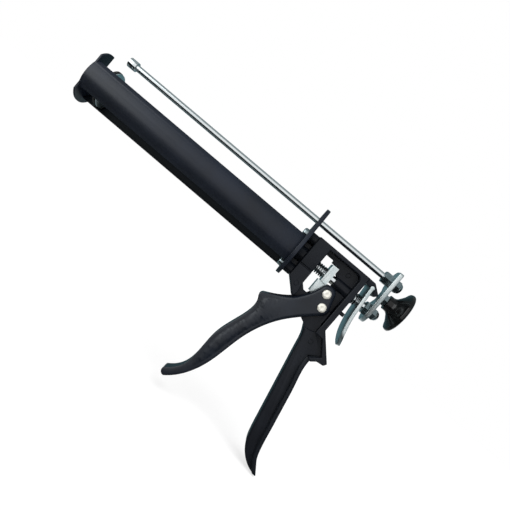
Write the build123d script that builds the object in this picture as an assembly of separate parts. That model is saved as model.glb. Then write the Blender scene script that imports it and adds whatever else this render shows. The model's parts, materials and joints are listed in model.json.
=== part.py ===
"""Two-part caulking gun: open cradle, die-cast body with handle and trigger, and a set of two push rods.

Millimetres. X runs along the barrel and is negative towards the nozzle, Z is up and the handle hangs
down, and -Y is the side with the curved strip. The origin is on the main rod's axis, at the front face
of the rear plate.
"""
import os
from math import cos, dist, pi, radians, sin, sqrt, tan

from build123d import *

# Clearances
RUN = 0.06          # rod or pin that moves in its bore, on the radius
FIT = 0.02          # fixed pin or stud in its hole, on the radius
SIDE_GAP = 0.3      # flat faces that pass each other

# Rods
ROD_D = 8.0
ROD_STUD_D = 6.0
SECOND_ROD_D = 6.0
ROD_SPACING = 32.0

# Cradle
CRADLE_LENGTH = 239.2
CRADLE_INNER_R = 19.5
CRADLE_WALL = 1.5
STRIP_HALF_ANGLE = 42.5
RAIL_START_ANGLE = 98.0     # from the strip's middle, round under the axis
RAIL_ARC = 67.0
RAIL_NOTCH_ARC = 44.0       # cut from the rail's lower edge beside the rear plate
RAIL_NOTCH_LENGTH = 7.5
FRONT_PLATE_R = 26.0
FRONT_PLATE_T = 2.0
FRONT_PLATE_NEAR = 18.0
NOZZLE_R = 10.0
NOZZLE_EDGE_Y = 1.5
NOZZLE_FLOOR_Z = -6.0

# Rear plate and its screws
REAR_PLATE_R = 26.6
REAR_PLATE_T = 3.6
REAR_LOBE_R = 13.5
SCREW_Y = -3.0
SCREW_Z = 16.5
SCREW_D = 5.0
SCREW_HEAD_R = 4.4
SCREW_HEAD_H = 3.2
SCREW_LENGTH = 11.0
WASHER_R = 4.6
WASHER_T = 1.0

# Body casting
BODY_HALF = 13.5
WEB_HALF = 3.0
LOWER_WEB_HALF = 5.5
COLLAR_LENGTH = 7.2
COLLAR_R = 7.5
SCREW_BOSS_R = 5.2
SPINE_HALF = 2.5
BLOCK_LENGTH = 14.0
BODY_TOP = 21.8
BEAM_T = 3.8
WINDOW_FLOOR = -23.3
WINDOW_TOP = 13.8
WINDOW_LENGTH = 9.0         # of its tall front part
WINDOW_STEP_Z = 11.2        # over the driver
WINDOW_CORNER_R = 5.0
COLUMN_T = 5.4
PANEL_LENGTH = 36.6
PANEL_CORNER_R = 6.0
RIM_EDGE_R = 1.0
GUIDE_R = 5.8
GROOVE_Z = -6.0
GROOVE_DEPTH = 1.2
GROOVE_H = 1.4
LUG_HALF = 12.0
STOP_HALF = 5.0
STOP_LENGTH = 5.0
HANDLE_HALF = 7.6
HANDLE_RIB_HALF = 11.0
HANDLE_RIB_W = 4.5
HANDLE_RIB_EDGE_R = 1.4
HANDLE_EDGE_R = 2.5
HANDLE_REACH = 177.5        # from the rod's axis down to the handle's tip
HANDLE_TIP_R = 1.6
# Outlines of the side view: the upper ends lie on the body, the tips are heights above the reach
HANDLE_FRONT = [(46.4, -42.7), (51.6, -50.0), (54.4, -57.0), (56.2, -65.0)]
HANDLE_FRONT_TIP = [(75.2, 27.5), (78.6, 17.5), (86.6, 7.5), (102.4, 0.2)]
HANDLE_BACK_TIP = [(103.8, 1.6), (99.4, 7.5), (95.6, 13.0), (92.0, 22.5)]
HANDLE_BACK = [(74.0, -73.0), (74.0, -65.4)]
HORN = [(86.9, -59.7), (85.0, -62.8), (78.2, -63.7), (74.0, -67.3), (70.6, -65.3), (79.2, -58.3), (69.4, -45.4)]
BEAK = [(6.6, 21.6), (15.6, 14.6), (12.4, 11.0), (10.6, 13.2)]     # behind the column

# Trigger and its pins
PIVOT = (51.7, -24.9)
DRIVE_PIN = (47.4, -13.2)
PIVOT_PIN_D = 6.0
DRIVE_PIN_D = 8.8
DRIVE_PIN_END_D = 5.0
RIVET_HEAD_R = 4.1
RIVET_HEAD_H = 1.8
PIVOT_BOSS_R = 7.4
CHEEK_T = 3.2
CHEEK_INNER = 8.0
CHEEK_TOP_R = 8.2
TRIGGER_WALL = 3.6
TRIGGER_EDGE_R = 3.4
TRIGGER_NOSE_R = 4.0
TRIGGER_SWEEP_R = 22.6
TRIGGER_REACH = 162.4       # from the rod's axis down to the trigger's tip
# Outlines of the side view: the upper ends lie at the body, the tips are heights above the reach
TRIGGER_REAR = [(57.0, -30.0), (42.2, -44.3), (31.4, -57.0), (15.4, -90.9)]
TRIGGER_REAR_TIP = [(7.4, 36.1), (-6.2, 9.4), (-16.0, 0.0)]
TRIGGER_END = (-20.4, 2.3)
TRIGGER_FRONT_TIP = [(-20.2, 6.3), (-8.2, 21.3)]
TRIGGER_FRONT = [(-5.6, -106.5), (3.0, -76.2), (5.2, -59.6), (-0.4, -49.7)]
TRIGGER_TOP = [(-0.4, -49.7), (18.0, -39.9), (28.6, -31.0), (36.3, -19.7), (40.6, -8.9)]

# Driver
DRIVER_X = 35.3
DRIVER_FLANGE_T = 2.0
DRIVER_HALF = 9.0
DRIVER_TOP = 10.5
DRIVER_BOTTOM = -20.0
TAIL_HALF = 6.0
TAIL_TOP = -7.2
TAIL_REACH = 2.0            # how far the tail stands in front of the flange
PIN_GAP = 0.4
GRIP_PLATE_T = 2.2
GRIP_PLATE_COUNT = 2

# Springs
DRIVE_SPRING_OD = 11.0
DRIVE_SPRING_WIRE = 1.4
DRIVE_SPRING_TURNS = 6
DRIVE_SEAT_DEPTH = 5.8
RELEASE_SPRING_OD = 12.0
RELEASE_SPRING_WIRE = 1.2
RELEASE_SPRING_TURNS = 3
RELEASE_SEAT_DEPTH = 3.5
SPRING_SEAT_GAP = 0.7       # between a spring and its counterbore, on the radius

# Release lever
LEVER_PIVOT = (73.4, 16.3)
LEVER_TILT = 5.0
LEVER_T = 3.0
LEVER_BEAD_R = 2.0
LEVER_STRAIGHT = 24.4
LEVER_BEND_R = 95.0
LEVER_BEND = 21.0
LEVER_HALF_TOP = 15.0
LEVER_HALF_TIP = 14.0
LEVER_HOLE_R = 4.6

# Plunger and rod tip
PLUNGER_SETBACK = 18.0      # behind the cradle's front end
PLUNGER_R = 18.5
PLUNGER_RIM_T = 1.8
PLUNGER_DEPTH = 7.0
PLUNGER_HUB_R = 8.0
WIPER_R = 19.0
WIPER_T = 2.0
TIP_D = 9.0
TIP_LENGTH = 8.7
TIP_AHEAD = 2.0             # of the plunger's front face
TIP_SOCKET = 6.0

# Cross plate, nuts and knob
CROSS_PLATE_X = 84.3
CROSS_PLATE_T = 4.0
CROSS_LOBE_R = 11.3
CROSS_NEAR = 10.0           # straight edge on the strip's side
CROSS_WAIST = 3.0           # far edge between the lobes
CROSS_WAIST_R = 4.0
CROSS_CORNER_R = 2.0
NUT_AF = 10.0
NUT_T = 5.0
SECOND_NUT_AF = 11.0
SECOND_NUT_T = 8.2
MAIN_NUT_AF = 12.0
MAIN_NUT_T = 4.0
DOME_H = 3.4
KNOB_Z = 16.2
KNOB_STUD_D = 6.0
KNOB_LENGTH = 17.6
KNOB_NECK_R = 7.2
KNOB_R = 20.0
KNOB_RIM_T = 4.4
KNOB_SOCKET = 9.0

# Positions that follow from the sizes above
cradle_outer_r = CRADLE_INNER_R + CRADLE_WALL
collar_end = REAR_PLATE_T + COLLAR_LENGTH
block_end = collar_end + BLOCK_LENGTH
panel_end = block_end + PANEL_LENGTH
column_end = panel_end + COLUMN_T
beam_under = BODY_TOP - BEAM_T
cheek_outer = CHEEK_INNER + CHEEK_T
drive_seat_x = block_end - DRIVE_SEAT_DEPTH
release_seat_x = column_end - RELEASE_SEAT_DEPTH
screw_points = [(SCREW_Y, SCREW_Z), (SCREW_Y, -SCREW_Z)]
cross_plate_back = CROSS_PLATE_X + CROSS_PLATE_T
plunger_x = PLUNGER_SETBACK - CRADLE_LENGTH
tip_x = plunger_x - TIP_AHEAD


def across(sketch, half_width):
    """Side profile drawn in X and Z, thickened evenly to both sides."""
    return extrude(Plane.XZ * sketch, half_width, both=True)


def along(sketch, x_start, x_end):
    """Section drawn in Y and Z, run along the barrel."""
    return extrude(Plane.YZ.offset(x_start) * sketch, x_end - x_start)


def rod_piece(radius, x_start, x_end, y=0.0, z=0.0):
    """Round bar along the barrel."""
    return along(Pos(y, z) * Circle(radius), x_start, x_end)


def pin_piece(radius, half_length, centre):
    """Round bar across the gun at a point of the side view."""
    return across(Pos(*centre) * Circle(radius), half_length)


def box_profile(x_start, x_end, z_start, z_end):
    """Upright rectangle of a sketch between its edges."""
    middle = ((x_start + x_end) / 2, (z_start + z_end) / 2)
    return Pos(*middle) * Rectangle(x_end - x_start, z_end - z_start)


def at_tip(points, reach):
    """Points of the side view from places along the barrel and heights above the end of a reach."""
    return [(x, height - reach) for x, height in points]


def straight(start, end, steps=4):
    """Points inside a straight stretch of an outline."""
    shares = [step / steps for step in range(1, steps)]
    return [(start[0] + (end[0] - start[0]) * share, start[1] + (end[1] - start[1]) * share) for share in shares]


def arc_band(r_inner, r_outer, start, size):
    """Part of a ring, with angles in degrees."""
    outer = CenterArc((0, 0), r_outer, start, size)
    inner = CenterArc((0, 0), r_inner, start, size)
    ends = [Line(outer @ 0, inner @ 0), Line(outer @ 1, inner @ 1)]
    return make_face([outer, inner, *ends])


def hex_nut(across_flats, bore_r, x_start, thickness, z=0.0):
    """Plain hexagon nut on a rod along the barrel."""
    hexagon = RegularPolygon(across_flats / 2, 6, major_radius=False) - Circle(bore_r)
    return along(Pos(0, z) * hexagon, x_start, x_start + thickness)


def dome_nut(across_flats, bore_r, x_start, z=0.0):
    """Hexagon nut with a domed closed end and a blind bore."""
    body = hex_nut(across_flats, bore_r, x_start, NUT_T, z)
    dome_start = x_start + NUT_T
    base_r = across_flats / 2
    dome_face = make_face([
        Line((0, 0), (0, base_r)),
        ThreePointArc((0, base_r), (DOME_H * 0.72, base_r * 0.7), (DOME_H, 0)),
        Line((DOME_H, 0), (0, 0)),
    ])
    dome = revolve(Plane.XY * dome_face, Axis.X)
    return body + Pos(dome_start, 0, z) * dome


def spring_points(x_start, x_end, coil_r, turns, steps):
    """Points and directions along a helix on the rod's axis."""
    rise = (x_end - x_start) / (2 * pi * turns)
    slope = sqrt(coil_r ** 2 + rise ** 2)
    rows = []
    for step in range(turns * steps + 1):
        turn = 2 * pi * step / steps
        point = Vector(x_start + rise * turn, coil_r * cos(turn), coil_r * sin(turn))
        heading = Vector(rise, -coil_r * sin(turn), coil_r * cos(turn)) / slope
        rows.append((point, heading))
    return rows


def biarc(start, start_heading, end, end_heading):
    """Two arcs that join two points along their given directions."""
    chord = end - start
    both = start_heading + end_heading
    spread = 2 * (1 - start_heading.dot(end_heading))
    lean = chord.dot(both)
    reach = (sqrt(lean ** 2 + spread * chord.dot(chord)) - lean) / spread
    middle = (start + end + (start_heading - end_heading) * reach) / 2
    first = Edge.make_tangent_arc(start, start_heading, middle)
    return [first, Edge.make_tangent_arc(middle, first % 1, end)]


def least_self_gap(rows, steps, wire_d):
    """Smallest clear distance between neighbouring turns, measured on points."""
    points = [tuple(row[0]) for row in rows]
    near = []
    for first, point in enumerate(points):
        near += [dist(point, other) for other in points[first + steps // 2 + 1:]]
    return min(near) - wire_d


def spring_piece(name, x_start, x_end, outer_d, wire_d, turns):
    """Coil spring as one unbroken wire between two seats."""
    steps = 4
    coil_r = (outer_d - wire_d) / 2
    rows = spring_points(x_start + wire_d / 2, x_end - wire_d / 2, coil_r, turns, steps)
    edges = []
    for (start, start_heading), (end, end_heading) in zip(rows, rows[1:]):
        edges += biarc(start, start_heading, end, end_heading)
    print(name, "least gap between turns", round(least_self_gap(rows, steps, wire_d), 2), "mm")
    section = Plane(origin=rows[0][0], z_dir=rows[0][1]) * Circle(wire_d / 2)
    return sweep(section, path=Wire(edges))


def make_cradle_shell():
    """Curved side strip with the front plate bent from its end."""
    strip_band = arc_band(CRADLE_INNER_R, cradle_outer_r, 180 - STRIP_HALF_ANGLE, 2 * STRIP_HALF_ANGLE)
    strip = along(strip_band, -CRADLE_LENGTH, 0)
    reach = 2 * FRONT_PLATE_R
    trim = Pos(reach / 2 - FRONT_PLATE_NEAR, 0) * Rectangle(reach, reach)
    disc = (Circle(FRONT_PLATE_R) & trim) + Circle(cradle_outer_r)
    open_side = Rectangle(reach, reach, align=(Align.MIN, Align.MIN))
    disc -= Pos(NOZZLE_EDGE_Y, NOZZLE_FLOOR_Z) * open_side
    disc -= Circle(NOZZLE_R)
    plate = along(disc, -CRADLE_LENGTH, -CRADLE_LENGTH + FRONT_PLATE_T)
    return strip + plate


def make_lower_rail():
    """Second curved strip, under and behind the cartridge."""
    band = arc_band(CRADLE_INNER_R, cradle_outer_r, 180 + RAIL_START_ANGLE, RAIL_ARC)
    notch = arc_band(CRADLE_INNER_R - 1, cradle_outer_r + 1, 180 + RAIL_START_ANGLE - 1, RAIL_NOTCH_ARC + 1)
    return along(band, -CRADLE_LENGTH + FRONT_PLATE_T, 0) - along(notch, -RAIL_NOTCH_LENGTH, 0)


def make_rear_plate():
    """Plate that carries the cradle and guides the second rod."""
    lobe = Pos(0, ROD_SPACING) * Circle(REAR_LOBE_R)
    outline = make_hull(Circle(REAR_PLATE_R).edges() + lobe.edges())
    outline -= Circle(ROD_D / 2 + SIDE_GAP)
    outline -= Pos(0, ROD_SPACING) * Circle(SECOND_ROD_D / 2 + RUN)
    for point in screw_points:
        outline -= Pos(*point) * Circle(SCREW_D / 2 + FIT)
    return along(outline, 0, REAR_PLATE_T)


def make_plate_screws():
    """Pan-head screws that hold the rear plate to the body."""
    screws = []
    for y, z in screw_points:
        shank = rod_piece(SCREW_D / 2, -WASHER_T, SCREW_LENGTH - WASHER_T, y, z)
        head = rod_piece(SCREW_HEAD_R, -WASHER_T - SCREW_HEAD_H, -WASHER_T, y, z)
        front_rim = head.edges().filter_by(GeomType.CIRCLE).sort_by(Axis.X)[0]
        screws.append(fillet(front_rim, SCREW_HEAD_H * 0.6) + shank)
    return Compound(screws)


def make_plate_washers():
    """Washers under the screw heads."""
    ring = Circle(WASHER_R) - Circle(SCREW_D / 2 + FIT)
    return Compound([along(Pos(*point) * ring, -WASHER_T, 0) for point in screw_points])


def body_collar():
    """Tube, screw bosses and spine between the rear plate and the front block."""
    spine = Rectangle(2 * SPINE_HALF, 2 * SCREW_Z)
    section = spine + Circle(COLLAR_R)
    for point in screw_points:
        section += Pos(*point) * Circle(SCREW_BOSS_R)
    return along(section, REAR_PLATE_T, collar_end)


def body_rim():
    """Front block, top beam, rear column and the back edge down to the horn, at full width."""
    block = Polygon(
        (collar_end, BODY_TOP), (block_end, BODY_TOP), (block_end, WINDOW_FLOOR + WINDOW_CORNER_R),
        (26.6, -28.4), (25.0, -34.0), (collar_end, -20.6), align=None)
    beam = box_profile(block_end, column_end, beam_under, BODY_TOP)
    back = Polygon(
        (panel_end, BODY_TOP), (column_end, BODY_TOP), (column_end, -38.0), *HORN,
        (57.0, -44.8), (panel_end, -37.0), align=None)
    corner = Pos(panel_end, beam_under) * (
        Rectangle(PANEL_CORNER_R, PANEL_CORNER_R, align=(Align.MAX, Align.MAX))
        - Pos(-PANEL_CORNER_R, -PANEL_CORNER_R) * Circle(PANEL_CORNER_R))
    rim = across(block + beam + back + corner, BODY_HALF)
    return fillet(rim.faces().filter_by(Axis.Y).edges(), RIM_EDGE_R)


def body_web():
    """Recessed panel with the rod guide, and the thicker web below the window."""
    pin_clear = DRIVE_PIN[0] + DRIVE_PIN_D / 2 + PIN_GAP
    driver_clear = DRIVER_X + DRIVER_FLANGE_T + GRIP_PLATE_COUNT * GRIP_PLATE_T + PIN_GAP
    panel = Polygon(
        (block_end, beam_under), (panel_end, beam_under), (panel_end, -45.0), (47.0, -45.0), PIVOT,
        (pin_clear, -18.0), (pin_clear, -6.0), (46.6, -5.0), (46.0, 4.5), (driver_clear, 6.0),
        (driver_clear, WINDOW_STEP_Z), (block_end + WINDOW_LENGTH, WINDOW_STEP_Z),
        (block_end + WINDOW_LENGTH, WINDOW_TOP), (block_end, WINDOW_TOP), align=None)
    lower = Polygon(
        (block_end, WINDOW_FLOOR + WINDOW_CORNER_R), (block_end + WINDOW_CORNER_R, WINDOW_FLOOR),
        (PIVOT[0], WINDOW_FLOOR), (panel_end, WINDOW_FLOOR), (panel_end, -45.0), (47.0, -45.0),
        (25.0, -34.0), (block_end, -30.0), align=None)
    boss = Pos(*PIVOT) * Circle(PIVOT_BOSS_R)
    guide = rod_piece(GUIDE_R, 46.3, panel_end)
    return across(panel, WEB_HALF) + across(lower, LOWER_WEB_HALF) \
        + across(boss, CHEEK_INNER - SIDE_GAP) + guide


def handle_back_points():
    """Back edge of the handle, from its tip up to the horn."""
    tip = at_tip(HANDLE_BACK_TIP, HANDLE_REACH)
    return tip + straight(tip[-1], HANDLE_BACK[0]) + HANDLE_BACK


def handle_profile():
    """Side view of the fixed handle, from the web to its tip."""
    tip = at_tip(HANDLE_FRONT_TIP, HANDLE_REACH)
    front = Spline(*HANDLE_FRONT, *straight(HANDLE_FRONT[-1], tip[0]), *tip)
    rear = Spline(*handle_back_points())
    return make_face([
        front,
        RadiusArc(front @ 1, rear @ 0, -HANDLE_TIP_R),
        rear,
        Polyline(rear @ 1, HORN[2], *HORN[-2:], front @ 0),
    ])


def handle_rib_profile():
    """Raised rib along the back of the handle."""
    rear_points = handle_back_points()
    rear = Spline(*rear_points)
    inner = Spline(*[(x - HANDLE_RIB_W, z) for x, z in rear_points])
    return make_face([rear, inner, Line(rear @ 0, inner @ 0), Line(rear @ 1, inner @ 1)])


def make_handle():
    """Fixed handle: a flat grip with a rounded front and a wider rib along its back."""
    grip = across(handle_profile(), HANDLE_HALF)
    front_edges = grip.edges().sort_by(SortBy.LENGTH)[-2:]
    rib = across(handle_rib_profile(), HANDLE_RIB_HALF)
    rib_edges = rib.edges().sort_by(SortBy.LENGTH)[-4:]
    return fillet(front_edges, HANDLE_EDGE_R) + fillet(rib_edges, HANDLE_RIB_EDGE_R)


def body_lugs():
    """Beak over the release lever, with its pivot groove, and the lever's stop below."""
    hook = [(column_end + x, z) for x, z in BEAK]
    beak = Polygon(
        (panel_end, BODY_TOP), *hook, (LEVER_PIVOT[0] + LEVER_T, LEVER_PIVOT[1]), (panel_end, LEVER_PIVOT[1]),
        align=None)
    beak -= Pos(*LEVER_PIVOT) * Circle(LEVER_BEAD_R + RUN)
    beak -= box_profile(column_end, LEVER_PIVOT[0] + LEVER_BEAD_R + RUN, 0, LEVER_PIVOT[1])
    stop = box_profile(panel_end, column_end + STOP_LENGTH, -19.6, -16.0)
    return across(beak, LUG_HALF) + across(stop, STOP_HALF)


def make_gun_body():
    """Body and handle, cast in one piece."""
    body = body_collar() + body_rim() + body_web() + make_handle() + body_lugs()
    body -= rod_piece(ROD_D / 2 + RUN, REAR_PLATE_T, column_end)
    body -= rod_piece(DRIVE_SPRING_OD / 2 + SPRING_SEAT_GAP, drive_seat_x, block_end)
    body -= rod_piece(RELEASE_SPRING_OD / 2 + SPRING_SEAT_GAP, release_seat_x, column_end)
    body -= pin_piece(PIVOT_PIN_D / 2 + RUN, BODY_HALF, PIVOT)
    for y, z in screw_points:
        body -= rod_piece(SCREW_D / 2 + FIT, REAR_PLATE_T, SCREW_LENGTH, y, z)
    groove = box_profile(collar_end, block_end, GROOVE_Z - GROOVE_H, GROOVE_Z)
    body -= across(groove, BODY_HALF) - across(groove, BODY_HALF - GROOVE_DEPTH)
    sweep_disc = Pos(*PIVOT) * Circle(TRIGGER_SWEEP_R)
    sweep_disc &= box_profile(block_end + WINDOW_CORNER_R + 3, panel_end, -60, WINDOW_FLOOR)
    body -= across(sweep_disc, BODY_HALF) - across(sweep_disc, LOWER_WEB_HALF) \
        - pin_piece(PIVOT_BOSS_R, CHEEK_INNER - SIDE_GAP, PIVOT)
    return body


def trigger_profile():
    """Side view of the trigger, from its cheeks to its tip."""
    rear = Spline(*TRIGGER_REAR, *at_tip(TRIGGER_REAR_TIP, TRIGGER_REACH))
    front = Spline(*at_tip(TRIGGER_FRONT_TIP, TRIGGER_REACH), *TRIGGER_FRONT)
    upper = Spline(*TRIGGER_TOP)
    tip = at_tip([TRIGGER_END], TRIGGER_REACH)
    return make_face([
        rear,
        ThreePointArc(rear @ 1, *tip, front @ 0),
        front,
        upper,
        ThreePointArc(upper @ 1, (DRIVE_PIN[0], DRIVE_PIN[1] + CHEEK_TOP_R), (54.4, -9.4)),
        Line((54.4, -9.4), (58.4, -22.0)),
        ThreePointArc((58.4, -22.0), (58.8, -26.0), rear @ 0),
    ])


def trigger_channel():
    """Space between the cheeks, open towards the handle and at the top."""
    front = at_tip(TRIGGER_FRONT_TIP[-1:], TRIGGER_REACH) + TRIGGER_FRONT[:-1]
    wall = Spline(*[(x + TRIGGER_WALL, z) for x, z in front])
    rear = TRIGGER_REAR + at_tip(TRIGGER_REAR_TIP[:1], TRIGGER_REACH)
    behind = [(x + TRIGGER_WALL, z - TRIGGER_WALL) for x, z in rear]
    top_front = (TRIGGER_FRONT[-2][0] + TRIGGER_WALL, BODY_TOP)
    outside = Polyline(wall @ 1, top_front, (column_end, BODY_TOP), *behind, wall @ 0)
    return make_face([wall, outside])


def make_trigger():
    """Channel-section trigger with two cheeks beside the body's web."""
    trigger = across(trigger_profile(), cheek_outer)
    nose_x, nose_z = TRIGGER_TOP[0]
    nose = trigger.edges().filter_by(Axis.Y).sort_by_distance((nose_x, 0, nose_z))[0]
    trigger = fillet(nose, TRIGGER_NOSE_R)
    trigger = fillet(trigger.faces().filter_by(Axis.Y).edges(), TRIGGER_EDGE_R)
    trigger -= across(trigger_channel(), CHEEK_INNER)
    trigger -= pin_piece(PIVOT_PIN_D / 2 + FIT, cheek_outer, PIVOT)
    trigger -= pin_piece(DRIVE_PIN_END_D / 2 + FIT, cheek_outer, DRIVE_PIN)
    return trigger


def rivet_heads(centre):
    """Domed heads on the outer faces of the cheeks."""
    head = pin_piece(RIVET_HEAD_R, cheek_outer + RIVET_HEAD_H, centre)
    rims = head.edges().filter_by(GeomType.CIRCLE)
    return fillet(rims, RIVET_HEAD_H * 0.8) - pin_piece(2 * RIVET_HEAD_R, cheek_outer, centre)


def make_trigger_pivot_pin():
    """Riveted pivot of the trigger."""
    return pin_piece(PIVOT_PIN_D / 2, cheek_outer, PIVOT) + rivet_heads(PIVOT)


def make_drive_pin():
    """Riveted pin whose barrel pushes the driver's tail."""
    barrel = pin_piece(DRIVE_PIN_D / 2, CHEEK_INNER - FIT, DRIVE_PIN)
    return barrel + pin_piece(DRIVE_PIN_END_D / 2, cheek_outer, DRIVE_PIN) + rivet_heads(DRIVE_PIN)


def make_driver_bracket():
    """Flange on the rod with a tail down to the drive pin."""
    tail_back = DRIVE_PIN[0] - DRIVE_PIN_D / 2 - PIN_GAP
    flange = across(box_profile(DRIVER_X, DRIVER_X + DRIVER_FLANGE_T, TAIL_TOP, DRIVER_TOP), DRIVER_HALF)
    tail_front = DRIVER_X - TAIL_REACH
    tail = Polygon(
        (tail_front, TAIL_TOP), (tail_back, TAIL_TOP), (tail_back, -18.4),
        (tail_back - 4.6, DRIVER_BOTTOM - 1), (tail_front, DRIVER_BOTTOM), align=None)
    bracket = flange + across(tail, TAIL_HALF)
    return bracket - rod_piece(ROD_D / 2 + RUN, DRIVER_X, DRIVER_X + DRIVER_FLANGE_T)


def make_grip_plates():
    """Plates behind the flange that grip the rod."""
    height = DRIVER_TOP - TAIL_TOP - FIT
    blank = Pos(0, DRIVER_TOP) * Rectangle(2 * DRIVER_HALF, height, align=(Align.CENTER, Align.MAX))
    blank -= Circle(ROD_D / 2 + RUN)
    first = DRIVER_X + DRIVER_FLANGE_T
    starts = [first + index * GRIP_PLATE_T for index in range(GRIP_PLATE_COUNT)]
    return Compound([along(blank, start, start + GRIP_PLATE_T) for start in starts])


def make_drive_spring():
    """Spring round the main rod, between the front block and the driver."""
    return spring_piece("drive_spring", drive_seat_x, DRIVER_X, DRIVE_SPRING_OD, DRIVE_SPRING_WIRE,
                        DRIVE_SPRING_TURNS)


def lever_front_x(z):
    """Front face of the release lever at a height, while it is straight."""
    drop = LEVER_PIVOT[1] - z
    return LEVER_PIVOT[0] + drop * tan(radians(LEVER_TILT)) - LEVER_T / 2 / cos(radians(LEVER_TILT))


def make_release_spring():
    """Spring round the main rod, between the column and the release lever."""
    seat = lever_front_x(RELEASE_SPRING_OD / 2)
    return spring_piece("release_spring", release_seat_x, seat, RELEASE_SPRING_OD, RELEASE_SPRING_WIRE,
                        RELEASE_SPRING_TURNS)


def make_release_lever():
    """Locking plate that hangs from its bead and bends back to a thumb tab."""
    bead = Circle(LEVER_BEAD_R)
    straight = Rectangle(LEVER_T, LEVER_STRAIGHT, align=(Align.CENTER, Align.MAX))
    bend = Pos(LEVER_BEND_R, -LEVER_STRAIGHT) * arc_band(
        LEVER_BEND_R - LEVER_T / 2, LEVER_BEND_R + LEVER_T / 2, 180, LEVER_BEND)
    profile = Pos(*LEVER_PIVOT) * (Rot(0, 0, LEVER_TILT) * (bead + straight + bend))
    lever = across(profile, LEVER_HALF_TOP)
    tip_z = lever.bounding_box().min.Z
    top_z = LEVER_PIVOT[1] + LEVER_BEAD_R
    outline = make_hull(
        (Pos(0, top_z / 2) * Rectangle(2 * LEVER_HALF_TOP, top_z)).edges()
        + (Pos(0, tip_z + LEVER_HALF_TIP) * Circle(LEVER_HALF_TIP)).edges())
    outline -= Circle(LEVER_HOLE_R)
    return lever & along(outline, column_end, CROSS_PLATE_X + LEVER_T)


def make_main_rod():
    """Main push rod with a threaded stud at each end."""
    front = plunger_x - WIPER_T - NUT_T - 1
    rear = cross_plate_back + NUT_T
    stud_r = ROD_STUD_D / 2
    shoulder = plunger_x + PLUNGER_DEPTH
    return (rod_piece(ROD_D / 2, shoulder, CROSS_PLATE_X) + rod_piece(stud_r, front, shoulder)
            + rod_piece(stud_r, CROSS_PLATE_X, rear))


def make_plunger_disc():
    """Dished plunger with a hub that seats on the rod's shoulder."""
    bore = ROD_STUD_D / 2 + FIT
    section = Polygon(
        (0, bore), (0, PLUNGER_R - 1), (PLUNGER_RIM_T / 2, PLUNGER_R), (PLUNGER_RIM_T, PLUNGER_R),
        (PLUNGER_RIM_T + 2.2, PLUNGER_HUB_R), (PLUNGER_DEPTH, PLUNGER_HUB_R - 1), (PLUNGER_DEPTH, bore),
        align=None)
    return Pos(plunger_x, 0, 0) * revolve(Plane.XY * section, Axis.X)


def make_plunger_wiper():
    """Rubber disc in front of the plunger."""
    ring = Circle(WIPER_R) - Circle(ROD_STUD_D / 2 + FIT)
    return along(ring, plunger_x - WIPER_T, plunger_x)


def make_second_rod():
    """Thin push rod above the cradle."""
    return rod_piece(SECOND_ROD_D / 2, tip_x + TIP_LENGTH - TIP_SOCKET, cross_plate_back + NUT_T, z=ROD_SPACING)


def make_second_rod_tip():
    """Wider pusher on the front end of the second rod."""
    tip = rod_piece(TIP_D / 2, tip_x, tip_x + TIP_LENGTH, z=ROD_SPACING)
    socket_start = tip_x + TIP_LENGTH - TIP_SOCKET
    return tip - rod_piece(SECOND_ROD_D / 2 + FIT, socket_start, tip_x + TIP_LENGTH, z=ROD_SPACING)


def make_cross_plate():
    """Plate that ties both rods and carries the knob."""
    bar = box_profile(-CROSS_NEAR, CROSS_WAIST, 0, ROD_SPACING)
    corner = box_profile(-CROSS_NEAR, 0, ROD_SPACING, ROD_SPACING + CROSS_LOBE_R)
    outline = Circle(CROSS_LOBE_R) + Pos(0, ROD_SPACING) * Circle(CROSS_LOBE_R) + bar + corner
    outline -= box_profile(-CROSS_NEAR - CROSS_LOBE_R, -CROSS_NEAR, -ROD_SPACING, 2 * ROD_SPACING)
    waist = outline.vertices().filter_by_position(Axis.X, CROSS_WAIST - FIT, CROSS_WAIST + FIT)
    outline = fillet(waist, CROSS_WAIST_R)
    top_corner = outline.vertices().sort_by_distance((-CROSS_NEAR, ROD_SPACING + CROSS_LOBE_R))[0]
    outline = fillet(top_corner, CROSS_CORNER_R)
    outline -= Circle(ROD_STUD_D / 2 + FIT)
    outline -= Pos(0, ROD_SPACING) * Circle(SECOND_ROD_D / 2 + FIT)
    outline -= Pos(0, KNOB_Z) * Circle(KNOB_STUD_D / 2 + FIT)
    return along(outline, CROSS_PLATE_X, cross_plate_back)


def make_knob():
    """Trumpet-shaped pull knob."""
    rim_x = KNOB_LENGTH - KNOB_RIM_T
    flare = Spline((2.5, KNOB_NECK_R), (rim_x * 0.62, KNOB_NECK_R + 3.6), (rim_x, KNOB_R - 0.6),
                   tangents=((1, 0), (0.35, 1)))
    edge = Spline(flare @ 1, (rim_x + KNOB_RIM_T * 0.45, KNOB_R), (KNOB_LENGTH, KNOB_R * 0.72))
    section = make_face([
        Polyline((0, 0), (0, KNOB_NECK_R), (2.5, KNOB_NECK_R)),
        flare,
        edge,
        Polyline(edge @ 1, (KNOB_LENGTH, 0), (0, 0)),
    ])
    knob = Pos(cross_plate_back + NUT_T, 0, KNOB_Z) * revolve(Plane.XY * section, Axis.X)
    socket_start = cross_plate_back + NUT_T
    return knob - rod_piece(KNOB_STUD_D / 2 + FIT, socket_start, socket_start + KNOB_SOCKET, z=KNOB_Z)


def make_knob_stud():
    """Stud from the cross plate into the knob."""
    return rod_piece(KNOB_STUD_D / 2, CROSS_PLATE_X, cross_plate_back + NUT_T + KNOB_SOCKET, z=KNOB_Z)


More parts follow.
